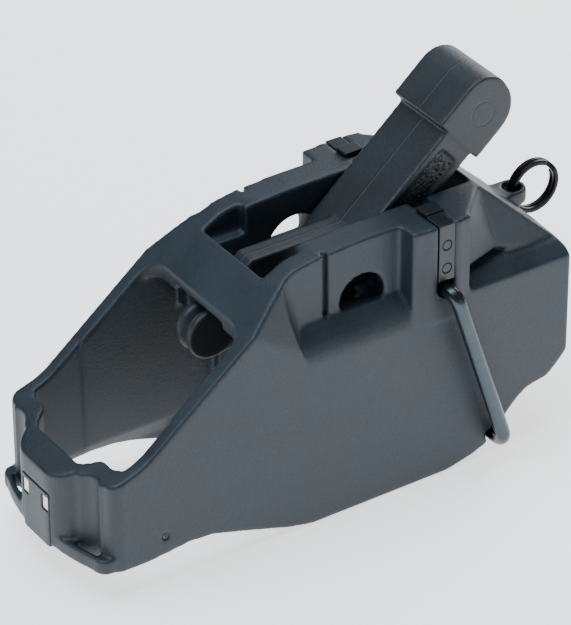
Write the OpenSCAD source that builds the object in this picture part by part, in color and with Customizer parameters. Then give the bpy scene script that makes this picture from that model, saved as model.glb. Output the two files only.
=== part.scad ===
// Lever-type loader for box magazines.
// Long axis is X: the open mouth is at -X and the closed rear box at +X.
// Z = 0 is the flat under the body that it stands on.

/* [Housing] */
// Half width of the flanks
flank_y = 20; // [19:0.5:21]
// Height of the top rails
rail_z = 60.3; // [60:0.1:61]
// Half width of the upper walls beside the top slot
upper_y = 15.5; // [15:0.25:16]
// Half width of the top slot the lever passes through
slot_y = 8.6; // [8.4:0.1:9]
// Half width of the magazine well under the lever
well_y = 14.2; // [13.6:0.1:15]
// Half width inside the open mouth
mouth_y = 16.8; // [16:0.1:17.2]
// Slope of the mouth rims above level
rim_slope = 39; // [36:1:42]

/* [Lever] */
// Height of the lever's hinge
hinge_z = 41.5; // [41:0.1:42]
// Angle of the lever's beam above level at rest
lever_angle = 41; // [40:0.5:42]
// Half width of the beam
beam_y = 8; // [7.5:0.1:8.1]
// Thickness of the beam
beam_t = 9.2; // [8.8:0.1:9.6]
// Radius of the round loading nose
nose_r = 5.5; // [5:0.1:5.6]
// Diameter of the hinge pin
pin_d = 3; // [2.8:0.1:3.2]

/* [Bail] */
// Wire diameter of the bail
wire_d = 3.2; // [3:0.1:3.2]
// Distance from the bail's pivot to its cross bar
bail_r = 43; // [42.8:0.1:43.4]
// Angle of the bail's legs behind straight down at rest
bail_angle = 18.2; // [18:0.1:19]
// Distance of each leg from the middle of the body
leg_y = 23.9; // [23.4:0.1:24.4]

/* [Key ring] */
// Radius of the ring to the middle of its wire
ring_r = 5.5; // [5.4:0.1:5.6]
// Thickness of the ring's flat wire
ring_t = 1.1; // [1:0.05:1.2]

/* [Hidden] */
$fn = 64;
eps = 0.01;
gap = 0.3;                   // between pieces that move past each other
fit = 0.05;                  // radial clearance of a running fit

// Places along X
front_x = -63.6;
corner_x = -55;              // middle of the round front corner beads
rear_x = 52.8;
bar_x = -24.8;               // front lower edge of the cross bar over the mouth
slot_x = -16.5;              // front end of the top slot
notch_x = -7.7;              // where the top slot steps in
boss_x = [13, 27.7];         // front and rear of the side bosses
hood_x = 34.7;
well_x = 22;                 // rear face of the magazine well
hinge_x = 0.5;
nose_x = -23.1;
nose_z = 41;
pivot_x = 21.2;              // pivot of the bail
pivot_z = 45.3;

// Heights
front_z = 6.6;               // under the front
ledge_z = 40;                // outer edge of the side ledge
base_z = 45.3;               // lower edge of the upper walls
roof_z = 57;                 // ceiling of the lever chamber
boss_y = 20.3;
chamber_y = 12.3;
chamber_z = 46;               // top of the wide part of the chamber
hub_y = chamber_y - gap;
strip_x = 3.8;               // width of a keeper strip
strip_t = 2;

// Outline of the body seen from the side. The rims climb at rim_slope.
function rim_z(x) = 30.2 + (x + 49) * tan(rim_slope);
under_outline = [
  [front_x, front_z + 0.4], [front_x + 2, front_z], [-51, 6.2], [-46, 6.6], [-40, 7.3],
  [-34.5, 6.9], [-25, 4], [-16.5, 1.2], [-11, 0], [23, 0], [29, 1.4], [33, 3], [36, 6.5],
  [38, 9.1], [40.2, 11.3], [42.5, 12.9], [45, 13.6], [47.2, 13.8], [49, 14.9], [51.3, 17],
  [rear_x, 19.2]
];
upper_outline = [
  [rear_x, 43.2], [51.4, 45.3], [boss_x[1] + 2, 47.4], [boss_x[1], rail_z], [4, rail_z],
  [-6, rail_z - 0.5], [-12, 58.8], [slot_x, 56.4], [-20, rim_z(-20)], [-49, 30.2],
  [-51.5, 28.8], [-57, 27], [front_x, 24.4]
];

// Extrudes a side outline, drawn in X and Z, across the body from y0 to y1.
module across(y0, y1) {
  translate([0, y1, 0]) rotate([90, 0, 0]) linear_extrude(y1 - y0) children();
}

// Extrudes a cross-section, drawn in Y and Z, along the body from x0 to x1.
module along(x0, x1) {
  translate([x0, 0, 0]) rotate([90, 0, 90]) linear_extrude(x1 - x0) children();
}

// Makes the second copy of a shape on the other side of the body.
module both_sides() {
  children();
  mirror([0, 1, 0]) children();
}

// Cylinder across the body, centred on x and z.
module rod(x, z, d, y0, y1) {
  translate([x, y1, z]) rotate([90, 0, 0]) cylinder(h = y1 - y0, d = d);
}

// ---- Housing ---------------------------------------------------------------

// Plan of the front: a broad nose, a shallow scallop and a round bead at each corner.
module front_plan() {
  difference() {
    union() {
      translate([corner_x, -flank_y]) square([rear_x - corner_x, 2 * flank_y]);
      translate([front_x, -3.6]) square([12, 7.2]);
      translate([-59.6, -16.4]) square([12, 32.8]);
      both_sides() translate([front_x + 6.3, 3.6]) circle(r = 6.3);
    }
    both_sides() translate([-62.6, 14.2]) circle(r = 4.7);
  }
  both_sides() translate([corner_x, flank_y - 2.8]) circle(r = 2.9);
}

// Space inside the mouth, seen from above, with a deeper middle that follows the nose.
module mouth_plan() {
  both_sides() polygon([[-57.8, -1], [-57.8, 7.2], [-57.2, 8.7], [-56, 9.6], [-54.8, 10.4],
    [-54, 12], [-54.1, 14.6], [-53.2, mouth_y], [-42.4, mouth_y], [-42.4, -1]]);
  translate([-43, -mouth_y + 0.4]) square([43 + bar_x - 4.2, 2 * mouth_y - 0.8]);
  translate([-43, -mouth_y + 4.6]) square([43 + bar_x, 2 * mouth_y - 9.2]);
  both_sides() translate([bar_x - 4.2, mouth_y - 4.6]) circle(r = 4.2);
}

// Long pocket along the top of one flank, above the sloping ledge. Its front end leans
// forward, and a large flat runs out from it to the rim of the mouth.
module flank_pocket() {
  intersection() {
    union() {
      translate([-6, upper_y, ledge_z - 2]) cube([boss_x[0] + 6.2, 12, 40]);
      translate([-7, upper_y, ledge_z]) rotate([0, -18.4, 0]) translate([0, 0, -5]) {
        cube([12, 12, 40]);
        translate([0, 5, 0]) cylinder(h = 40, r = 5);
        translate([-5, 5, 0]) cube([6, 8, 40]);
      }
    }
    along(-30, 30) polygon([[upper_y, 90], [upper_y, base_z], [upper_y + 0.6, base_z - 0.1],
      [17.6, 43.6], [18.8, 42], [19.6, 40.4], [flank_y, ledge_z - 1.2], [30, 34], [30, 90]]);
  }
  translate([-12.3, flank_y, 42]) rotate([0, 0, -10.1]) rotate([15.6, 0, 0])
    translate([-26, 0, -3]) cube([27, 12, 40]);
}

// Open corner behind a boss, down to the rear ledge.
module rear_pocket() {
  along(boss_x[1] - 0.3, rear_x + 1) polygon([[13, 46.2], [17, 44.6], [flank_y + eps, 42.2],
    [30, 40], [30, 90], [10, 90]]);
}

module side_boss() {
  hull() {
    translate([boss_x[0] + 5, boss_y - 5, ledge_z - 2]) cylinder(h = rail_z - ledge_z + 2, r = 5);
    translate([boss_x[1] - 3.4, boss_y - 3.4, ledge_z - 2]) cylinder(h = rail_z - ledge_z + 2, r = 3.4);
    translate([boss_x[0], 12.4, ledge_z - 2]) cube([boss_x[1] - boss_x[0], 1, rail_z - ledge_z + 2]);
  }
}

// Sloping hood over the rear box, from the end of the top slot down to the rear edge.
module hood() {
  hull() {
    translate([hood_x, -11.6, rail_z - 0.6]) cube([0.6, 23.2, 0.6]);
    translate([hood_x + 2.2, -15.8, 46.8]) cube([0.6, 31.6, 0.6]);
    translate([rear_x - 2.2, -9, 44]) cube([0.6, 18, 1.8]);
    translate([rear_x - 1.2, -16, 41]) cube([0.6, 32, 3.2]);
  }
}

// Walls beside the slot behind the bosses, running in at an angle to meet the hood.
module rear_walls() {
  both_sides() hull() {
    translate([boss_x[1] - 1.6, slot_y, 47.2]) cube([1.4, 10.2, rail_z - 47.2]);
    translate([hood_x - 0.5, slot_y, rail_z - 0.6]) cube([0.6, 3, 0.6]);
    translate([hood_x + 1.9, slot_y, 47.2]) cube([0.6, 7.2, 0.6]);
  }
}

// Short bar bridging the scallop low at one front corner, with a lens-shaped hole behind it.
module corner_bar() {
  translate([0, 0, front_z + 0.1]) linear_extrude(3.4) difference() {
    union() {
      polygon([[-63, 6.4], [-62.5, 9.6], [-61.7, 13.2], [-60.6, 16.6], [-56, 18], [-57, 6.4]]);
      translate([-57.8, 17]) circle(r = 2.8);
    }
    polygon([[-60.9, 10.2], [-60.2, 13.4], [-59.2, 16.6], [-57.9, 17], [-57.9, 10.6]]);
  }
}

// Lug for the key ring: a flat tab with an upright hole.
module ring_lug() {
  translate([lug_x - 7, -3.1, lug_z]) cube([7, 6.2, lug_t]);
  translate([lug_x, 0, lug_z]) cylinder(h = lug_t, r = 3.1);
}
lug_x = 52.05;               // middle of the lug's hole
lug_z = 45.3;
lug_t = 3.4;
lug_hole_d = 3.9;

module housing_shell() {
  difference() {
    union() {
      intersection() {
        across(-flank_y - 0.2, flank_y + 0.2) polygon(concat(under_outline, upper_outline));
        linear_extrude(rail_z + 1) front_plan();
      }
    }
    both_sides() flank_pocket();
    both_sides() rear_pocket();
  }
  both_sides() side_boss();
  hood();
  rear_walls();
}

// Everything hollow inside the housing.
module housing_voids() {
  // mouth, with a bevelled lower edge
  translate([0, 0, -1]) linear_extrude(90) mouth_plan();
  along(-53.6, -19.4) polygon([[-18.6, -1], [-18.6, 5.6], [-mouth_y + 0.4, 10], [mouth_y - 0.4, 10],
    [18.6, 5.6], [18.6, -1]]);
  // magazine well, wide as far as the cross bar and then closer
  translate([bar_x - 8, 0.4 - mouth_y, -1]) cube([21.8, 2 * mouth_y - 0.8, 38]);
  translate([bar_x - 8, 0.4 - mouth_y, -1]) cube([13.4, 2 * mouth_y - 0.8, 47]);
  translate([bar_x, -well_y, -1]) cube([well_x - bar_x, 2 * well_y, 38]);
  // box behind the well, open below
  across(-16.8, 16.8) polygon([[well_x + 2.6, -1], [well_x + 2.6, 38], [45, 38], [49.6, 34],
    [49.6, -1]]);
  // lever chamber, wide around the hinge and as narrow as the slot above it
  across(-chamber_y, chamber_y) polygon([[bar_x - 6, 36], [bar_x - 6, chamber_z],
    [5, chamber_z], [8, 43], [hood_x, 43], [well_x, 36]]);
  // the nose's way out under the cross bar
  across(-slot_y, slot_y) polygon([[bar_x - 6, 42], [bar_x - 6, 47.4], [bar_x + 1, 47.4],
    [slot_x - 0.6, 53], [-10, 54.6], [-4, roof_z], [hood_x, roof_z], [hood_x, 42]]);
  // top slot, with a wide shallow step in front of the notch
  translate([slot_x, -10.7, 53.4]) cube([notch_x - slot_x, 21.4, 20]);
  translate([slot_x, -slot_y, 50]) cube([hood_x - slot_x, 2 * slot_y, 20]);
}

// Cuts in the flanks and bosses.
module side_cuts() {
  both_sides() {
    // arched window with a level sill, flaring inwards
    intersection() {
      union() {
        rod(4.1, 47, 10.4, upper_y - 0.5, 18);
        translate([4.1, upper_y, 47]) rotate([90, 0, 0]) cylinder(h = 8, r1 = 5.2, r2 = 6.8);
      }
      translate([-10, slot_y - 2, base_z]) cube([30, 12, 20]);
    }
    // upright slit in the upper wall
    translate([-5.1, upper_y - 1.6, base_z]) cube([1, 4, 20]);
    translate([boss_x[1] + 0.3, 15.4, 44.9]) cube([hood_x - boss_x[1] + 1.4, 4, 1.2]);
    // channel of the keeper, over the top of the boss and down its outside
    translate([pivot_x - strip_x / 2, boss_y - strip_t, pivot_z])
      cube([strip_x, 4, rail_z - pivot_z + 2]);
    translate([pivot_x - strip_x / 2, 12.4, rail_z - strip_t]) cube([strip_x, 12, 4]);
    // notch beside the keeper's hook, in the edge of the slot
    translate([pivot_x - 1.6, 6, rail_z - 1.6]) cube([4.2, 5.2, 4]);
    // bearing of the bail and the room its bend needs
    rod(pivot_x, pivot_z, wire_d + 2 * fit, 14.6, boss_y);
    rod(pivot_x, pivot_z, strip_x + 0.2, boss_y - strip_t, boss_y + 1);
    // holes for the keeper's two pins
    for (z = keeper_pin_z) rod(pivot_x, z, keeper_pin_d, boss_y - strip_t - 2, boss_y);
    // blind bearing of the hinge pin
    rod(hinge_x, hinge_z, pin_d, chamber_y - 1, hinge_pin_y);
  }
}
keeper_pin_z = [50.2, 55.6];
keeper_pin_d = 2.4;
hinge_pin_y = 14.2;

// The rear corner under the body follows the swing of the bail.
module bail_swing() {
  difference() {
    across(-flank_y - 5, flank_y + 5)
      polygon([[pivot_x, pivot_z], [pivot_x + 60 * sin(15.6), pivot_z - 60 * cos(15.6)],
        [pivot_x + 90, -40], [pivot_x + 90, pivot_z - 20]]);
    rod(pivot_x, pivot_z, 2 * (bail_r - wire_d / 2 - gap), -30, 30);
  }
}

module housing() {
  color("#3d454c") difference() {
    union() {
      difference() {
        housing_shell();
        housing_voids();
        bail_swing();
      }
      both_sides() corner_bar();
      ring_lug();
    }
    side_cuts();
    // room for the key ring in the edge of the hood
    translate([lug_x, 0, 43.2]) cylinder(h = 12, d = lug_hole_d);
    // seat of the catch insert and holes for the two flank pins
    translate([front_x - 1, -insert_y, 0]) cube([front_t + 1, 2 * insert_y, insert_z]);
    both_sides() rod(flank_pin_x, flank_pin_z, flank_pin_d, flank_pin_y, flank_y + 1);
    // upright groove down each side of the mouth
    both_sides() translate([-42.7, mouth_y - 1, 5]) cube([0.6, 1.5, 40]);
  }
}
insert_y = 5;
insert_z = 19.4;
front_t = 5.8;               // thickness of the front wall at its middle
flank_pin_x = -45.6;
flank_pin_z = 11;
flank_pin_d = 1.6;
flank_pin_y = 17.6;          // inner end of each pin

// ---- Front catch -----------------------------------------------------------

// Moulded block that fills the seat in the front wall.
module catch_insert() {
  color("#3d454c") difference() {
    intersection() {
      translate([front_x, -insert_y, front_z]) cube([front_t, 2 * insert_y, insert_z - front_z]);
      linear_extrude(40) front_plan();
    }
    both_sides() translate([front_x - 1, prong_y - prong_w / 2, prong_z])
      cube([8, prong_w, prong_h]);
  }
}
prong_y = 3.6;
prong_w = 2.2;
prong_z = 15;
prong_h = 3.4;

// Steel plate behind the insert, with two prongs that show in the front wall.
module front_catch() {
  color("#c9c8bd") {
    both_sides() translate([front_x + 0.3, prong_y - prong_w / 2, prong_z])
      cube([front_t, prong_w, prong_h]);
    translate([front_x + front_t, -prong_y - prong_w / 2, prong_z - 4])
      cube([1.2, 2 * prong_y + prong_w, prong_h + 4]);
    translate([front_x + front_t, -prong_y - prong_w / 2, prong_z + prong_h - 1.2])
      cube([3.4, 2 * prong_y + prong_w, 1.2]);
  }
}

// Coiled spring pins, one through the foot of each flank beside the mouth.
module flank_pins() {
  color("#55595c") both_sides() difference() {
    rod(flank_pin_x, flank_pin_z, flank_pin_d, flank_pin_y, flank_y - 0.2);
    rod(flank_pin_x, flank_pin_z, 0.5, 0, flank_y + 1);
  }
}

// ---- Keepers ---------------------------------------------------------------

// Moulded clip: a strip down the outside of the boss, a bar over its top and a hook inside.
module keeper(side) {
  color("#343b42") scale([1, side, 1]) difference() {
    union() {
      translate([pivot_x - strip_x / 2, boss_y - strip_t, 47.3])
        cube([strip_x, strip_t, rail_z - 47.3]);
      translate([pivot_x - strip_x / 2, 12.4, rail_z - strip_t])
        cube([strip_x, boss_y - 12.4, strip_t]);
      translate([pivot_x - strip_x / 2 - 0.3, 12.4, rail_z]) cube([strip_x + 0.6, 3.4, 0.9]);
    }
    for (z = keeper_pin_z) rod(pivot_x, z, keeper_pin_d, boss_y - 3, boss_y + 1);
  }
}
module keeper_left() { keeper(1); }
module keeper_right() { keeper(-1); }

// Four pressed pins that hold the keepers, flush with their strips.
module keeper_pins() {
  color("#454c52") both_sides() for (z = keeper_pin_z)
    rod(pivot_x, z, keeper_pin_d, boss_y - strip_t - 2, boss_y);
}

// ---- Lever -----------------------------------------------------------------

// Places a shape in the beam's own frame: its X runs up the beam from the hinge.
module beam_frame() {
  translate([hinge_x, 0, hinge_z]) rotate([0, -lever_angle, 0]) children();
}

module lever_beam() {
  beam_frame() difference() {
    union() {
      across(-beam_y, beam_y) polygon([[6, -beam_t / 2], [44, -beam_t / 2], [44, beam_t / 2],
        [16, beam_t / 2], [6, beam_t / 2]]);
      across(-head_y, head_y) {
        translate([head_u, -6.7]) square([8, 14]);
        translate([head_u + 8, 0.3]) circle(r = 7);
        translate([head_u, 1.3]) square([10, 6]);
        translate([head_u + 9.2, 1.3]) circle(r = 6);
      }
    }
    // shallow panel down each side of the beam
    both_sides() {
      translate([11, beam_y - 0.5, -2.9]) cube([27.2, 2, 5.8]);
      translate([11, beam_y - 0.5, -1.7]) cube([28.4, 2, 3.4]);
      for (v = [-1.7, 1.7]) translate([38.2, beam_y - 0.5, v]) rotate([-90, 0, 0])
        cylinder(h = 2, r = 1.2);
    }
  }
}
head_u = 42.5;
head_y = 8.3;

// Web from the hub forward to the nose, seen from the side.
module arm_outline() {
  polygon([[hinge_x + 8.4, 55], [-13.6, 55], [nose_x + 0.5, nose_z + nose_r],
    [nose_x - 1, nose_z - 5], [-14, 36], [hinge_x, 34.5], [hinge_x + 9, 42]]);
}

module lever_arm() {
  difference() {
    union() {
      across(-2.7, 2.7) arm_outline();
      rod(nose_x, nose_z, 2 * nose_r, -2.9, 2.9);
      rod(hinge_x, hinge_z, 14, gap - slot_y, 5.6);
      rod(hinge_x, hinge_z, 6.4, -hub_y, 6);
    }
    // groove around the nose
    translate([nose_x, 0, nose_z]) rotate([90, 0, 0]) rotate_extrude()
      polygon([[nose_r - 1.8, 0], [nose_r + 1, 1.9], [nose_r + 1, -1.9]]);
  }
}

module lever() {
  color("#3a4147") difference() {
    union() {
      lever_beam();
      lever_arm();
    }
    rod(hinge_x, hinge_z, pin_d + 2 * fit, -20, 20);
  }
}

module hinge_pin() {
  color("#b4b8ba") rod(hinge_x, hinge_z, pin_d, -hinge_pin_y, hinge_pin_y);
}

// Torsion spring around the pin, beside the hub: coils and two straight legs.
spring_d = 0.9;
spring_r = 3.1;
spring_turns = 4.15;
spring_pitch = 1.05;
spring_y = 6.7;
spring_steps = 20;
spring_sides = 8;

// Path of the spring wire: leg on the housing, the coils, leg on the lever.
function spring_coil(i) = let (a = 262 + 360 * i / spring_steps)
  [hinge_x + spring_r * cos(a), spring_y + spring_pitch * i / spring_steps, hinge_z + spring_r * sin(a)];
spring_path = concat(
  [[hinge_x - 9, spring_y, hinge_z - 2.2], [hinge_x - 4, spring_y, hinge_z - 2.9]],
  [for (i = [0:spring_turns * spring_steps]) spring_coil(i)],
  [[hinge_x + 5, spring_y + 3.6, hinge_z + 0.3], [hinge_x + 6.4, spring_y + 2.5, hinge_z + 1.5]]);

// Sweeps a round wire along a list of points as one closed skin.
module wire_sweep(path, d, sides) {
  n = len(path);
  function unit(v) = v / norm(v);
  tangents = [for (i = [0:n - 1]) unit(path[min(i + 1, n - 1)] - path[max(i - 1, 0)])];
  side = [for (t = tangents) unit(cross(t, abs(t.y) < 0.9 ? [0, 1, 0] : [1, 0, 0]))];
  rings = [for (i = [0:n - 1], k = [0:sides - 1]) let (a = 360 * k / sides)
    path[i] + d / 2 * (cos(a) * side[i] + sin(a) * cross(tangents[i], side[i]))];
  skin = [for (i = [0:n - 2], k = [0:sides - 1]) let (m = (k + 1) % sides)
    [i * sides + k, i * sides + m, (i + 1) * sides + m, (i + 1) * sides + k]];
  polyhedron(rings, concat([[for (k = [sides - 1:-1:0]) k]], skin,
    [[for (k = [0:sides - 1]) (n - 1) * sides + k]]), convexity = 6);
}

module return_spring() {
  color("#c3c7c9") wire_sweep(spring_path, spring_d, spring_sides);
}

// ---- Bail ------------------------------------------------------------------

bend_top = 2.6;              // radius of the bend at each pivot end
bend_low = 4;                // radius of the bends at the cross bar

// Half of the bail, drawn with its leg straight down from the pivot.
module bail_half() {
  rod(0, 0, wire_d, 14.9, leg_y - bend_top);
  translate([0, leg_y - bend_top, -bend_top]) rotate([90, 0, 90])
    rotate_extrude(angle = 90) translate([bend_top, 0]) circle(d = wire_d);
  translate([0, leg_y, -bail_r + bend_low])
    cylinder(h = bail_r - bend_low - bend_top, d = wire_d);
  translate([0, leg_y - bend_low, -bail_r + bend_low]) rotate([90, 0, 90])
    rotate_extrude(angle = -90) translate([bend_low, 0]) circle(d = wire_d);
  rod(0, -bail_r, wire_d, -eps, leg_y - bend_low);
}

module bail() {
  color("#7d8386") translate([pivot_x, 0, pivot_z]) rotate([0, -bail_angle, 0]) both_sides() bail_half();
}

// ---- Key ring --------------------------------------------------------------

ring_z = lug_z + lug_t / 2;

// Two turns of flat wire side by side, through the lug's upright hole.
module key_ring() {
  color("#26292c") translate([lug_x + ring_r, 0, ring_z]) rotate([90, 0, 0])
    for (side = [-1, 1]) translate([0, 0, side * (ring_t / 2 + 0.02)])
      rotate_extrude() translate([ring_r - ring_t / 2, -ring_t / 2]) square(ring_t);
}

housing();
catch_insert();
front_catch();
flank_pins();
keeper_left();
keeper_right();
keeper_pins();
lever();
hinge_pin();
return_spring();
bail();
key_ring();
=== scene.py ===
# %% [markdown]
# # A lever loader for box magazines, in moulded nylon and steel wire
# The real tool is a hollow nylon housing with a lever hinged inside it, a wire bail that
# swings under its tail and a split ring to hang it by. The imported model already holds every
# piece at its full size, in metres. This lesson gives each piece the soft edges, the wound
# wire and the finishes that a maker's drawing leaves out.

# %% Load the imported model
import math

import bmesh
import bpy
from mathutils import Matrix, Quaternion, Vector


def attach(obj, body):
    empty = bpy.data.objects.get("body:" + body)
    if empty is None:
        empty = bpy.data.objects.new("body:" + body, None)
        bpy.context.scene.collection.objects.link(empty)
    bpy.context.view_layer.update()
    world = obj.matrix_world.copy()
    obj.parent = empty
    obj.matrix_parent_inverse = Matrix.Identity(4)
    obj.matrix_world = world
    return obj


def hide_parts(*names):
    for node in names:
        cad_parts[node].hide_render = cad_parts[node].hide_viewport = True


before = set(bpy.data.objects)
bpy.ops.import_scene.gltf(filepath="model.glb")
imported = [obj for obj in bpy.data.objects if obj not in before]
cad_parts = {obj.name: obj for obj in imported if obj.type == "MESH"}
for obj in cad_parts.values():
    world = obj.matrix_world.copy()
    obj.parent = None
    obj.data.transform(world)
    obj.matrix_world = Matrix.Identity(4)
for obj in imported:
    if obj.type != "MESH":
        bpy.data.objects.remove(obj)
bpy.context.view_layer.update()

MM = 0.001
print("nodes:", ", ".join(sorted(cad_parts)))

# %% [markdown]
# ## Two small helpers for materials
# A colour given here is an sRGB hex value, but Blender's sockets expect linear light, so
# one function converts it. A second one adds a node, sets its options and makes its links,
# which keeps every material below readable as a list of steps.

# %% Colour and node helpers
def linear(hex_colour):
    """An sRGB hex colour as the linear RGBA that a socket takes."""
    parts = [int(hex_colour[i:i + 2], 16) / 255 for i in (1, 3, 5)]
    return [p / 12.92 if p <= 0.04045 else ((p + 0.055) / 1.055) ** 2.4 for p in parts] + [1.0]


def add(tree, kind, inputs=None, **settings):
    """Adds one node. inputs maps a socket's name or number to a value or to another socket."""
    made = tree.nodes.new(kind)
    for name, value in settings.items():
        setattr(made, name, value)
    for socket, value in (inputs or {}).items():
        if isinstance(value, bpy.types.NodeSocket):
            tree.links.new(value, made.inputs[socket])
        else:
            made.inputs[socket].default_value = value
    return made


print("charcoal in linear light:", [round(c, 4) for c in linear("#3a434a")])

# %% [markdown]
# ## Glass-filled nylon, as it leaves the mould
# The housing and lever are injection-moulded nylon with short glass fibres. The eye sees a
# satin charcoal with a slight blue cast, a fine grain from the spark-eroded mould, and faint
# clouds where the melt flowed. Grain could be modelled, but it is less than a tenth of a
# millimetre deep, so a bump is right. Its real width is about 0.3 mm. It is drawn 0.4 to
# 0.5 mm wide on the small pieces and 0.6 mm on the large ones, because finer grain doesn't
# show at this size. The keepers are glossier, so theirs is almost flat.

# %% Moulded nylon
FLOW_MM = 16
FLOW_SHARE, GRAIN_SHARE = 0.55, 0.45
NYLON_IOR = 1.53


def moulded_nylon(name, dark, light, roughness, grain_mm=0.5, depth_mm=0.02, marks=None):
    """Satin moulded plastic. marks may add a height in millimetres for a piece's own details."""
    material = bpy.data.materials.new(name)
    material.use_nodes = True
    tree = material.node_tree
    tree.nodes.clear()
    place = add(tree, "ShaderNodeTexCoord").outputs["Object"]
    grain = add(tree, "ShaderNodeTexNoise", {
        "Vector": place, "Scale": 1 / (grain_mm * MM), "Detail": 3.0, "Roughness": 0.65})
    flow = add(tree, "ShaderNodeTexNoise", {
        "Vector": place, "Scale": 1 / (FLOW_MM * MM), "Detail": 2.0, "Distortion": 0.6})
    cloud = add(tree, "ShaderNodeMath", {
        0: flow.outputs[0], 1: FLOW_SHARE}, operation="MULTIPLY")
    mottle = add(tree, "ShaderNodeMath", {
        0: grain.outputs[0], 1: GRAIN_SHARE, 2: cloud.outputs[0]}, operation="MULTIPLY_ADD")
    spread = add(tree, "ShaderNodeMapRange", {
        "Value": mottle.outputs[0], "From Min": 0.32, "From Max": 0.68})
    colour = add(tree, "ShaderNodeMix", {
        0: spread.outputs[0], 6: linear(dark), 7: linear(light)}, data_type="RGBA")
    satin = add(tree, "ShaderNodeMapRange", {
        "Value": flow.outputs[0], "From Min": 0.3, "From Max": 0.7,
        "To Min": roughness - 0.04, "To Max": roughness + 0.05})
    height = add(tree, "ShaderNodeMath", {
        0: grain.outputs[0], 1: depth_mm}, operation="MULTIPLY").outputs[0]
    if marks:
        extra = marks(tree, place)
        height = add(tree, "ShaderNodeMath", {0: height, 1: extra}, operation="ADD").outputs[0]
    bump = add(tree, "ShaderNodeBump", {"Height": height, "Distance": MM, "Strength": 1.0})
    shader = add(tree, "ShaderNodeBsdfPrincipled", {
        "Base Color": colour.outputs[2], "Roughness": satin.outputs[0], "IOR": NYLON_IOR,
        "Normal": bump.outputs[0]})
    add(tree, "ShaderNodeOutputMaterial", {"Surface": shader.outputs[0]})
    return material


housing_nylon = moulded_nylon("nylon_spark_eroded_charcoal", "#0d1921", "#1f303b", 0.5,
                              grain_mm=0.6, depth_mm=0.09)
insert_nylon = moulded_nylon("nylon_insert_charcoal", "#131d25", "#222f3a", 0.48,
                             grain_mm=0.4, depth_mm=0.04)
keeper_nylon = moulded_nylon("nylon_keeper_glossy", "#0f181e", "#1b252c", 0.36, depth_mm=0.01)
stake_nylon = moulded_nylon("nylon_stake_grey", "#141e25", "#24303a", 0.42, grain_mm=0.4)
print("nylon finishes:", [m.name for m in bpy.data.materials if m.name.startswith("nylon")])

# %% [markdown]
# ## The lever's own mould marks
# The mould closes on the lever from its two sides, so a fine seam runs round its middle, up
# the beam and over the thumb head. A pin that pushed it out left a round witness on each side
# of the head, and the long panel in the beam's side is stippled. The stipple is 0.3 mm high
# and the others are under 0.1 mm, too little to change an outline, so all three are heights in
# the material. They are worked out from the lever's own coordinates, so they turn with it.

# %% Lever nylon with seam, ejector mark and stippled panel
LEVER_ANGLE = math.radians(41)
HINGE_X, HINGE_Z = 0.5, 41.5
# Millimetres up the beam from the hinge, and above or below the beam's middle.
HEAD_MARK_U, HEAD_MARK_V, HEAD_MARK_R = 50.0, 0.2, 2.7
PANEL_U, PANEL_HALF_LENGTH, PANEL_HALF_HEIGHT = 25.2, 13.2, 2.4
SEAM_HIGH, MARK_DEEP, STIPPLE_HIGH = 0.05, 0.06, 0.3
STIPPLE_PITCH = 1.0


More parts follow.
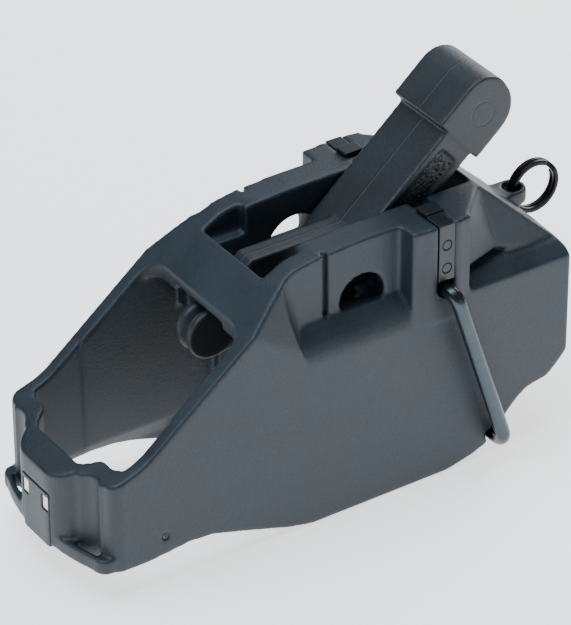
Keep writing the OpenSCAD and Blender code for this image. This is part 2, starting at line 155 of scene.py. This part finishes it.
def lever_marks(tree, place):
    """Height in millimetres of the seam, the ejector mark and the panel's stipple."""
    # The beam's own axes: X up the beam, Z above it.
    beam = add(tree, "ShaderNodeMapping", {
        "Vector": place, "Location": (HINGE_X * MM, 0, HINGE_Z * MM),
        "Rotation": (0, -LEVER_ANGLE, 0)}, vector_type="TEXTURE").outputs[0]
    axes = add(tree, "ShaderNodeSeparateXYZ", {0: beam}).outputs
    side = add(tree, "ShaderNodeMath", {0: axes[1]}, operation="ABSOLUTE").outputs[0]
    # Seam: a ridge about 0.4 mm wide, wherever the lever meets its own middle plane.
    seam = add(tree, "ShaderNodeMapRange", {
        "Value": side, "From Min": 0.1 * MM, "From Max": 0.3 * MM,
        "To Min": SEAM_HIGH, "To Max": 0.0}, interpolation_type="SMOOTHSTEP").outputs[0]
    # Ejector mark: a shallow ring, 5.4 mm across, on each side of the head.
    middle = add(tree, "ShaderNodeCombineXYZ", {0: axes[0], 2: axes[2]}).outputs[0]
    reach = add(tree, "ShaderNodeVectorMath", {
        0: middle, 1: (HEAD_MARK_U * MM, 0, HEAD_MARK_V * MM)},
        operation="DISTANCE").outputs["Value"]
    off = add(tree, "ShaderNodeMath", {0: reach, 1: HEAD_MARK_R * MM},
              operation="SUBTRACT").outputs[0]
    near = add(tree, "ShaderNodeMath", {0: off}, operation="ABSOLUTE").outputs[0]
    mark = add(tree, "ShaderNodeMapRange", {
        "Value": near, "From Min": 0.12 * MM, "From Max": 0.35 * MM,
        "To Min": -MARK_DEEP, "To Max": 0.0}, interpolation_type="SMOOTHSTEP").outputs[0]
    # Stipple: raised dots about 1 mm apart, kept to the panel.
    dots = add(tree, "ShaderNodeTexVoronoi", {
        "Vector": beam, "Scale": 1 / (STIPPLE_PITCH * MM), "Randomness": 0.8},
        feature="F1").outputs["Distance"]
    dome = add(tree, "ShaderNodeMapRange", {
        "Value": dots, "From Min": 0.1, "From Max": 0.55,
        "To Min": STIPPLE_HIGH, "To Max": 0.0}).outputs[0]
    from_middle = add(tree, "ShaderNodeMath", {0: axes[0], 1: PANEL_U * MM},
                      operation="SUBTRACT").outputs[0]
    length = add(tree, "ShaderNodeMath", {0: from_middle}, operation="ABSOLUTE").outputs[0]
    inside_u = add(tree, "ShaderNodeMath", {0: length, 1: PANEL_HALF_LENGTH * MM},
                   operation="LESS_THAN").outputs[0]
    rise = add(tree, "ShaderNodeMath", {0: axes[2]}, operation="ABSOLUTE").outputs[0]
    inside_v = add(tree, "ShaderNodeMath", {0: rise, 1: PANEL_HALF_HEIGHT * MM},
                   operation="LESS_THAN").outputs[0]
    inside = add(tree, "ShaderNodeMath", {0: inside_u, 1: inside_v},
                 operation="MULTIPLY").outputs[0]
    stipple = add(tree, "ShaderNodeMath", {0: dome, 1: inside}, operation="MULTIPLY").outputs[0]
    both = add(tree, "ShaderNodeMath", {0: seam, 1: mark}, operation="ADD").outputs[0]
    return add(tree, "ShaderNodeMath", {0: both, 1: stipple}, operation="ADD").outputs[0]


lever_nylon = moulded_nylon("nylon_lever_charcoal", "#13191f", "#232c33", 0.48,
                            grain_mm=0.6, depth_mm=0.07, marks=lever_marks)
print("the beam leans", round(math.degrees(LEVER_ANGLE)), "degrees about", (HINGE_X, HINGE_Z))

# %% [markdown]
# ## Steel finishes
# There are five finishes: drawn and passivated wire in the bail, bright ground steel in the
# catch and hinge pin, a duller strip in the coiled pins, bright spring wire, and blackened
# wire in the split ring. Metal takes its colour from its reflections, so the base colour stays
# near a plain grey. What tells one finish from another is how dark and how rough it is, with
# the fine scratches left by drawing or tumbling. The black coat on the ring isn't bare metal,
# so that one is a little less metallic.

# %% Steel
def steel(name, colour, roughness, scratch_mm, depth_mm, metallic=1.0):
    """Steel with fine scratches and uneven sheen. scratch_mm is the spacing along each axis."""
    material = bpy.data.materials.new(name)
    material.use_nodes = True
    tree = material.node_tree
    tree.nodes.clear()
    place = add(tree, "ShaderNodeTexCoord").outputs["Object"]
    stretched = add(tree, "ShaderNodeMapping", {
        "Vector": place, "Scale": [1 / (s * MM) for s in scratch_mm]}).outputs[0]
    lines = add(tree, "ShaderNodeTexNoise", {"Vector": stretched, "Scale": 1.0, "Detail": 4.0})
    stain = add(tree, "ShaderNodeTexNoise", {"Vector": place, "Scale": 1 / (5 * MM), "Detail": 2.0})
    tone = add(tree, "ShaderNodeMix", {
        0: stain.outputs[0], 6: linear(colour), 7: [c * 0.8 for c in linear(colour)[:3]] + [1]},
        data_type="RGBA")
    sheen = add(tree, "ShaderNodeMapRange", {
        "Value": lines.outputs[0], "From Min": 0.3, "From Max": 0.7,
        "To Min": roughness - 0.06, "To Max": roughness + 0.08})
    height = add(tree, "ShaderNodeMath", {0: lines.outputs[0], 1: depth_mm}, operation="MULTIPLY")
    bump = add(tree, "ShaderNodeBump", {"Height": height.outputs[0], "Distance": MM})
    shader = add(tree, "ShaderNodeBsdfPrincipled", {
        "Base Color": tone.outputs[2], "Metallic": metallic, "Roughness": sheen.outputs[0],
        "Normal": bump.outputs[0]})
    add(tree, "ShaderNodeOutputMaterial", {"Surface": shader.outputs[0]})
    return material


drawn_wire = steel("steel_drawn_passivated", "#4c555a", 0.28, (0.5, 0.25, 3.0), 0.006)
ground_steel = steel("steel_ground_bright", "#e2e1d2", 0.34, (0.3, 2.0, 0.3), 0.004)
pin_steel = steel("steel_coiled_pin", "#5b6367", 0.38, (0.3, 1.5, 0.3), 0.005)
spring_steel = steel("steel_spring_bright", "#b9bdbf", 0.3, (0.4, 0.4, 0.4), 0.004)
black_wire = steel("steel_blackened", "#1d1e20", 0.33, (0.5, 0.5, 0.5), 0.006, metallic=0.75)
print("steel finishes:", [m.name for m in bpy.data.materials if m.name.startswith("steel")])

# %% [markdown]
# ## Soft moulded edges
# Nothing that leaves a mould has a knife edge. Here the housing and lever get fillets of
# about 1 mm, and the small insert and keepers a fraction of that. The Bevel modifier could
# round each edge, but on a shell made of cuts within cuts it breaks down where edges crowd.
# Instead the solid is rebuilt from small cubes of space (a voxel remesh) and relaxed. Each
# pass pulls the corners in a little and leaves the flats flat. The voxel's size and the number
# of passes set the fillet, just as a toolmaker picks a cutter. A decimate at the end keeps
# the triangles where there is shape and drops them from the flats.

# %% Soft copies of the moulded pieces
def finished(obj, body, slot, material, *nodes):
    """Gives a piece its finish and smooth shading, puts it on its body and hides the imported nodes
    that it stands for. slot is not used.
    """
    obj.data.materials.clear()
    obj.data.materials.append(material)
    for face in obj.data.polygons:
        face.material_index = 0
        face.use_smooth = True
    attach(obj, body)
    if nodes:
        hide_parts(*nodes)
    size = [round(v / MM, 1) for v in obj.dimensions]
    print(f"{obj.name}: {len(obj.data.polygons)} faces, {size} mm, rides on {body}")
    return obj


def piece(name, mesh):
    """A mesh as an object in the scene, at the origin."""
    made = bpy.data.objects.new(name, mesh)
    bpy.context.scene.collection.objects.link(made)
    return made


def apply_modifiers(obj):
    """Turns an object's modifiers into a plain mesh."""
    graph = bpy.context.evaluated_depsgraph_get()
    mesh = bpy.data.meshes.new_from_object(obj.evaluated_get(graph))
    obj.modifiers.clear()
    obj.data = mesh
    return obj


def weld(mesh, within_mm):
    """Merges points that all but touch, and turns every face of a closed mesh outwards."""
    work = bmesh.new()
    work.from_mesh(mesh)
    bmesh.ops.remove_doubles(work, verts=work.verts, dist=within_mm * MM)
    bmesh.ops.recalc_face_normals(work, faces=work.faces)
    work.to_mesh(mesh)
    work.free()
    return mesh


def merged_copy(name, node):
    """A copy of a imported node's mesh with its loose triangles merged."""
    return piece(name, weld(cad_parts[node].data.copy(), 0.002))


def soft_copy(name, node, voxel_mm, passes, most_triangles):
    """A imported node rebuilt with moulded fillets."""
    made = merged_copy(name, node)
    remesh = made.modifiers.new("cubes", "REMESH")
    remesh.mode = "VOXEL"
    remesh.voxel_size = voxel_mm * MM
    relax = made.modifiers.new("fillets", "SMOOTH")
    relax.factor = 0.5
    relax.iterations = passes
    apply_modifiers(made)
    made.data.calc_loop_triangles()
    triangles = len(made.data.loop_triangles)
    if triangles > most_triangles:
        thin = made.modifiers.new("thin", "DECIMATE")
        thin.ratio = most_triangles / triangles
        apply_modifiers(made)
    return made


housing = soft_copy("housing_shell", "housing", 0.36, 16, 190000)
finished(housing, "body", "housing_nylon", housing_nylon, "housing")
lever = soft_copy("loading_lever", "lever", 0.25, 26, 90000)
finished(lever, "lever", "lever_nylon", lever_nylon, "lever")
insert = soft_copy("catch_insert_block", "catch_insert", 0.14, 4, 30000)
finished(insert, "body", "insert_nylon", insert_nylon, "catch_insert")
for hand in ("left", "right"):
    keeper = soft_copy("keeper_clip_" + hand, "keeper_" + hand, 0.12, 6, 40000)
    finished(keeper, "body", "keeper_nylon", keeper_nylon, "keeper_" + hand)

# %% [markdown]
# ## The steel catch
# A stamped plate behind the front insert shows only the ends of its two prongs. Stamped
# steel has crisp faces and a tiny broken edge, so here the Bevel modifier is the right tool:
# few edges, all square, and a width of 0.15 mm.

# %% Catch plate
catch = merged_copy("catch_plate", "front_catch")
edge_break = catch.modifiers.new("broken_edge", "BEVEL")
edge_break.width = 0.15 * MM
edge_break.segments = 2
edge_break.limit_method = "ANGLE"
edge_break.angle_limit = math.radians(40)
apply_modifiers(catch)
finished(catch, "body", "catch_steel", ground_steel, "front_catch")
# Stamped faces are flat, so this piece isn't shaded smooth.
for face in catch.data.polygons:
    face.use_smooth = False

# %% [markdown]
# ## Wire that follows a path
# The bail and the return spring are both bent from round wire, and the hinge pin is a short
# straight rod. One Geometry Nodes tree makes all three: it takes a path, gives it a round
# section of a named diameter, and narrows the two ends as tumbling does. Making the tree
# once and feeding it paths is how a wire former works too: one machine, many bends.

# %% What both trees share
def geometry_tree(name, inputs, result):
    """An empty Geometry Nodes tree with named inputs and one geometry output."""
    tree = bpy.data.node_groups.new(name, "GeometryNodeTree")
    for label, kind in inputs:
        tree.interface.new_socket(label, in_out="INPUT", socket_type="NodeSocket" + kind)
    tree.interface.new_socket(result, in_out="OUTPUT", socket_type="NodeSocketGeometry")
    return tree


def round_skin(tree, path, radius, sides, end_scale):
    """Gives a path a closed round section that is narrowed at its two end points."""
    end = add(tree, "GeometryNodeCurveEndpointSelection", {"Start Size": 1, "End Size": 1})
    thin = add(tree, "GeometryNodeSwitch", input_type="FLOAT", inputs={
        "Switch": end.outputs[0], "False": 1.0, "True": end_scale})
    section = add(tree, "GeometryNodeCurvePrimitiveCircle", {
        "Resolution": sides, "Radius": radius})
    return add(tree, "GeometryNodeCurveToMesh", {
        "Curve": path, "Profile Curve": section.outputs[0],
        "Scale": thin.outputs[0], "Fill Caps": True}).outputs[0]


def end_tree(tree, geometry, finish):
    """Makes instances real, sets their material and sends them out."""
    real = add(tree, "GeometryNodeRealizeInstances", {0: geometry})
    paint = add(tree, "GeometryNodeSetMaterial", {
        "Geometry": real.outputs[0], "Material": finish})
    add(tree, "NodeGroupOutput", {0: paint.outputs[0]})
    return tree


print("a tree ends in Realize Instances and Set Material")

# %% The wire tree
def wire_tree():
    """Geometry Nodes: a path in, round wire with softened ends out."""
    tree = geometry_tree("round_wire", (
        ("Path", "Geometry"), ("Diameter", "Float"), ("End Taper", "Float"),
        ("Sides", "Int"), ("Finish", "Material")), "Wire")
    given = add(tree, "NodeGroupInput").outputs
    radius = add(tree, "ShaderNodeMath", {0: given["Diameter"], 1: 0.5}, operation="MULTIPLY")
    path = add(tree, "GeometryNodeMeshToCurve", {0: given["Path"]})
    skin = round_skin(tree, path.outputs[0], radius.outputs[0], given["Sides"],
                      given["End Taper"])
    return end_tree(tree, skin, given["Finish"])


def grown(obj, tree, **values):
    """Runs a tree on an object with its named inputs set, and keeps the plain mesh."""
    maker = obj.modifiers.new("maker", "NODES")
    maker.node_group = tree
    for item in tree.interface.items_tree:
        key = item.name.replace(" ", "_").lower()
        if item.in_out == "INPUT" and key in values:
            maker[item.identifier] = values[key]
    apply_modifiers(obj)
    weld(obj.data, 0.001)
    return obj


def path_mesh(name, points):
    """A chain of edges through points given in millimetres."""
    mesh = bpy.data.meshes.new(name)
    mesh.from_pydata([Vector(p) * MM for p in points],
                     [(i, i + 1) for i in range(len(points) - 1)], [])
    return mesh


round_wire = wire_tree()


def wire(name, points, diameter_mm, material, sides, end_taper=0.8):
    """Round wire along points given in millimetres."""
    return grown(piece(name, path_mesh(name, points)), round_wire, diameter=diameter_mm * MM,
                 end_taper=end_taper, sides=sides, finish=material)


print("inputs:", [i.name for i in round_wire.interface.items_tree if i.in_out == "INPUT"])

# %% [markdown]
# ## The bail
# One length of 3.2 mm wire: in through the left boss, a tight bend, down the leg, a wider
# bend, across under the tail and up the same way. It springs open to fit, so it has no
# fastener. The path is laid out flat in the bail's own plane and then leaned back by its
# rest angle, as the wire is bent flat on a bench before it is fitted.

# %% Bail path and wire
PIVOT = Vector((21.2, 0, 45.3))
LEG_Y, BAIL_R, BAIL_ANGLE = 23.9, 43.0, math.radians(18.2)
TIP_Y, TIGHT_R, WIDE_R = 14.9, 2.6, 4
BAIL_WIRE = 3.18


def bend(centre_y, centre_z, radius, first, last, steps):
    """Points round a bend in the bail's plane, angles in degrees from +Y towards +Z."""
    turn = [math.radians(first + (last - first) * i / steps) for i in range(steps + 1)]
    return [(centre_y + radius * math.cos(a), centre_z + radius * math.sin(a)) for a in turn]


# From the tip in the boss, out and down the leg, and to the middle of the cross run.
half = [(TIP_Y, 0), (15.2, 0), (17.5, 0)]
half += bend(LEG_Y - TIGHT_R, -TIGHT_R, TIGHT_R, 90, 0, 14)
half += [(LEG_Y, -7.0 - 4.0 * i) for i in range(8)]
half += bend(LEG_Y - WIDE_R, WIDE_R - BAIL_R, WIDE_R, 0, -90, 14)
half += [(15, -BAIL_R), (10, -BAIL_R), (5, -BAIL_R)]
flat = half + [(0, -BAIL_R)] + [(-y, z) for y, z in reversed(half)]
lean = Matrix.Rotation(-BAIL_ANGLE, 3, "Y")
bail = wire("bail_wire", [PIVOT + lean @ Vector((0, y, z)) for y, z in flat], BAIL_WIRE,
            drawn_wire, sides=28)
finished(bail, "bail", "bail_wire", drawn_wire, "bail")

# %% [markdown]
# ## Return spring and hinge pin
# The lever falls back by itself because a torsion spring of 0.9 mm wire sits round its pin,
# with one leg on the housing and one under the lever. Its path is a helix with two straight
# legs. It bends in use, so it stays with the housing. The pin itself is a ground rod, whose
# path has a point just inside each end, so that only the ends are narrowed.

# %% Spring and pin
SPRING_R, SPRING_Y, PITCH, TURNS = 3.1, 6.7, 1.05, 4.15
SPRING_WIRE, FIRST_LEG_DEG, STEPS = 0.88, 262, 30
PIN_DIAMETER, PIN_END, PIN_RIM = 2.98, 14.18, 13.9
helix = []
for i in range(int(TURNS * STEPS) + 1):
    a = math.radians(FIRST_LEG_DEG + 360 * i / STEPS)
    helix.append((HINGE_X + SPRING_R * math.cos(a), SPRING_Y + PITCH * i / STEPS,
                  HINGE_Z + SPRING_R * math.sin(a)))
coil = [(-8.5, SPRING_Y, 39.3), (-3.5, SPRING_Y, 38.6)] + helix
coil += [(5.3, SPRING_Y + 3.6, 41.8), (6.9, SPRING_Y + 2.5, 43.0)]
spring = wire("return_spring_wire", coil, SPRING_WIRE, spring_steel, sides=12)
finished(spring, "body", "spring_steel", spring_steel, "return_spring")
rod_points = [(HINGE_X, y, HINGE_Z) for y in (-PIN_END, -PIN_RIM, -7, 0, 7, PIN_RIM, PIN_END)]
hinge_rod = wire("hinge_pin_rod", rod_points, PIN_DIAMETER, ground_steel, sides=32,
                 end_taper=0.85)
finished(hinge_rod, "body", "hinge_steel", ground_steel, "hinge_pin")

# %% [markdown]
# ## Keeper stakes
# Four nylon stakes, two a side, are pressed in flush to hold the keepers. They are one part
# used four times, so a Geometry Nodes tree puts the same stake at each of four points. The
# stake is a short rod whose rim is narrowed, and the line that this leaves round it is what
# makes each one show.

# %% Stakes on points
def stake_tree():
    """Geometry Nodes: one stake at each vertex, pointing along Y."""
    tree = geometry_tree("stakes", (
        ("Places", "Geometry"), ("Radius", "Float"), ("Length", "Float"),
        ("Rim", "Float"), ("Finish", "Material")), "Stakes")
    given = add(tree, "NodeGroupInput").outputs
    half_length = add(tree, "ShaderNodeMath", {0: given["Length"], 1: 0.5}, operation="MULTIPLY")
    low = add(tree, "ShaderNodeMath", {0: half_length.outputs[0], 1: -1.0}, operation="MULTIPLY")
    start = add(tree, "ShaderNodeCombineXYZ", {1: low.outputs[0]})
    stop = add(tree, "ShaderNodeCombineXYZ", {1: half_length.outputs[0]})
    axis = add(tree, "GeometryNodeCurvePrimitiveLine", {
        "Start": start.outputs[0], "End": stop.outputs[0]})
    fine = add(tree, "GeometryNodeResampleCurve", {"Curve": axis.outputs[0], "Count": 25})
    rod = round_skin(tree, fine.outputs[0], given["Radius"], 32, given["Rim"])
    copies = add(tree, "GeometryNodeInstanceOnPoints", {
        "Points": given["Places"], "Instance": rod})
    return end_tree(tree, copies.outputs[0], given["Finish"])


STAKE_LENGTH, STAKE_R, STAKE_FACE_Y = 3.96, 1.16, 20.27
places = bpy.data.meshes.new("stake_places")
places.from_pydata([Vector((PIVOT.x, side * (STAKE_FACE_Y - STAKE_LENGTH / 2), z)) * MM
                    for side in (-1, 1) for z in (50.2, 55.6)], [], [])
stakes = piece("keeper_stakes", places)
grown(stakes, stake_tree(), radius=STAKE_R * MM, length=STAKE_LENGTH * MM, rim=0.82,
      finish=stake_nylon)
finished(stakes, "body", "keeper_pin_nylon", stake_nylon, "keeper_pins")

# %% [markdown]
# ## Coiled pins in the flanks
# A coiled pin is a strip of spring steel rolled up two and a quarter turns, so its end shows
# a spiral. It is drawn as that strip: two spirals a strip's thickness apart make a closed
# outline, and the outline is drawn out along the pin.

# %% Rolled strip pins
PIN_X, PIN_Z, PIN_R = -45.6, 11.0, 0.79
STRIP, STRIP_GAP, STRIP_TURNS = 0.2, 0.07, 2.25


def mesh_from(work, name):
    """Keeps a bmesh as a plain mesh with its faces outwards."""
    bmesh.ops.recalc_face_normals(work, faces=work.faces)
    mesh = bpy.data.meshes.new(name)
    work.to_mesh(mesh)
    work.free()
    return mesh


def rolled_strip(work, y_near, y_far):
    """Adds one coiled pin along Y to a bmesh, sizes in millimetres."""
    count = 60
    rings = []
    for y in (y_near, y_far):
        outer, inner = [], []
        for i in range(count + 1):
            a = 2 * math.pi * STRIP_TURNS * i / count
            r = PIN_R - (STRIP + STRIP_GAP) * a / (2 * math.pi)
            for radius, line in ((r, outer), (r - STRIP, inner)):
                at = (PIN_X + radius * math.cos(a), y, PIN_Z + radius * math.sin(a))
                line.append(work.verts.new(Vector(at) * MM))
        rings.append((outer, inner))
    (o1, i1), (o2, i2) = rings
    for i in range(count):
        for a, b in ((o1, o2), (i1, i2), (o1, i1), (o2, i2)):
            work.faces.new((a[i], a[i + 1], b[i + 1], b[i]))
    for i in (0, count):
        work.faces.new((o1[i], o2[i], i2[i], i1[i]))


work = bmesh.new()
for side in (-1, 1):
    rolled_strip(work, side * 17.62, side * 19.78)
coiled = piece("coiled_pins", mesh_from(work, "coiled_pins"))
finished(coiled, "body", "pin_steel", pin_steel, "flank_pins")

# %% [markdown]
# ## The split ring
# A split ring is one flat wire wound twice. The two turns lie side by side, and a short
# crossover steps the wire from one layer to the other between its two cut ends. The section
# is a 1.1 mm square with rounded corners, carried round by the angle alone, so it never
# twists.

# %% Two turns of flat wire
RING_CORNER = 0.28
# Each cut end stops short of the crossover's middle by this share of the crossover.
END_SHARE = 0.62


def split_ring(centre, radius, wide, layer, crossover_deg, split_at_deg):
    """A closed strip wound twice about the Y axis, sizes in millimetres."""
    corner, h = RING_CORNER, wide / 2
    section = []
    for qx, qy, first in ((1, 1, 0), (-1, 1, 90), (-1, -1, 180), (1, -1, 270)):
        for k in range(4):
            a = math.radians(first + 30 * k)
            section.append((qx * (h - corner) + corner * math.cos(a),
                            qy * (h - corner) + corner * math.sin(a)))
    work = bmesh.new()
    rings, count = [], 200
    start, stop = crossover_deg * END_SHARE, 720 - crossover_deg * END_SHARE
    for i in range(count + 1):
        turn = start + (stop - start) * i / count
        t = min(max((turn - 360) / crossover_deg + 0.5, 0), 1)
        y = layer * (t * t * (3 - 2 * t) * 2 - 1)
        a = math.radians(split_at_deg + turn)
        away = Vector((math.cos(a), 0, math.sin(a)))
        rings.append([work.verts.new((Vector(centre) + away * (radius + u)
                                      + Vector((0, y + v, 0))) * MM) for u, v in section])
    for a, b in zip(rings, rings[1:]):
        for k in range(len(section)):
            m = (k + 1) % len(section)
            work.faces.new((a[k], a[m], b[m], b[k]))
    work.faces.new(rings[0])
    work.faces.new(rings[-1])
    return piece("split_ring", mesh_from(work, "split_ring"))


ring = split_ring(centre=(57.55, 0, 47.0), radius=5.5, wide=1.08, layer=0.56,
                  crossover_deg=34, split_at_deg=40)
finished(ring, "ring", "ring_steel", black_wire, "key_ring")

# %% [markdown]
# ## A floor that gives light
# The loader stands on plain white paper, with the grain of paper too fine to see. The paper
# also glows, as on a light table. That keeps it pale under the dark object and sends soft
# light up the flanks.

# %% Floor
FLOOR_HALF, FLOOR_GLOW, FIBRES_PER_METRE = 3.0, 1.25, 400.0
floor_white = bpy.data.materials.new("paper_white_matte")
floor_white.use_nodes = True
tree = floor_white.node_tree
tree.nodes.clear()
place = add(tree, "ShaderNodeTexCoord").outputs["Object"]
fibre = add(tree, "ShaderNodeTexNoise", {
    "Vector": place, "Scale": FIBRES_PER_METRE, "Detail": 2.0})
tone = add(tree, "ShaderNodeMix", {
    0: fibre.outputs[0], 6: linear("#fbfbfb"), 7: linear("#ffffff")}, data_type="RGBA")
paper = add(tree, "ShaderNodeBsdfPrincipled", {
    "Base Color": tone.outputs[2], "Roughness": 0.9,
    "Emission Color": (1, 1, 1, 1), "Emission Strength": FLOOR_GLOW})
add(tree, "ShaderNodeOutputMaterial", {"Surface": paper.outputs[0]})
work = bmesh.new()
bmesh.ops.create_grid(work, x_segments=8, y_segments=8, size=FLOOR_HALF)
mesh = bpy.data.meshes.new("floor")
work.to_mesh(mesh)
work.free()
mesh.materials.append(floor_white)
floor = piece("floor", mesh)
print("floor at z =", floor.location.z)

# %% [markdown]
# ## Four soft lamps
# The floor already lights the flanks, so the lamp on the near side is the weakest and only
# fills them. The strongest is overhead, where charcoal tops need it to show their shape. One
# high at the front shapes the mouth and the bonnet, and one behind to the right draws the thin
# highlights along the edges. Large lamps are used, because a small one would put a hard spot on
# satin nylon.

# %% Lights
COOL_WHITE = "#e6f1fc"


def softbox(name, at, aim, size, power, colour="#ffffff"):
    """A rectangular lamp at a place, turned to face another. Metres and watts."""
    light = bpy.data.lights.new(name, "AREA")
    light.shape = "RECTANGLE"
    light.size, light.size_y = size
    light.energy = power
    light.color = linear(colour)[:3]
    lamp = bpy.data.objects.new(name, light)
    lamp.location = at
    lamp.rotation_mode = "QUATERNION"
    lamp.rotation_quaternion = (Vector(aim) - Vector(at)).to_track_quat("-Z", "Y")
    bpy.context.scene.collection.objects.link(lamp)
    return lamp


centre = (0.0, 0.0, 0.03)
softbox("near_side", (0.25, -0.75, 0.22), centre, (0.7, 0.4), 0.5, COOL_WHITE)
softbox("overhead", (0.0, 0.1, 0.9), centre, (0.7, 0.7), 6.0, COOL_WHITE)
softbox("rear_rim", (0.6, 0.35, 0.35), centre, (0.4, 0.4), 3.0)
softbox("front_top", (-0.45, 0.05, 0.75), centre, (0.4, 0.4), 3.0, COOL_WHITE)
world = bpy.data.worlds.new("studio")
bpy.context.scene.world = world
world.use_nodes = True
sky = world.node_tree.nodes["Background"].inputs
sky["Color"].default_value = linear("#eef5fb")
sky["Strength"].default_value = 0.18

# %% [markdown]
# ## A long lens from a distance
# Seen from close by, a small object's far end shrinks and its edges lean. A long lens about
# 0.8 m away keeps level and upright edges almost parallel, and still fills the frame.

# %% Camera
AIM = Vector((-4.0, 0.0, 37.85)) * MM
DISTANCE, FOCAL_MM, ROLL_DEG = 0.80645, 252.2, -0.3
lens = bpy.data.cameras.new("long_lens")
lens.sensor_fit = "HORIZONTAL"
lens.sensor_width = 36.0
lens.lens = FOCAL_MM
lens.clip_start, lens.clip_end = 0.05, 20.0
camera = bpy.data.objects.new("camera", lens)
bpy.context.scene.collection.objects.link(camera)
back = Vector((-0.4612, -0.6993, 0.5461)).normalized()
camera.location = AIM + back * DISTANCE
camera.rotation_mode = "QUATERNION"
level = (-back).to_track_quat("-Z", "Y")
camera.rotation_quaternion = level @ Quaternion((0, 0, 1), math.radians(ROLL_DEG))
bpy.context.scene.camera = camera
print("camera is", round(camera.location.length, 3), "m from the object's base")
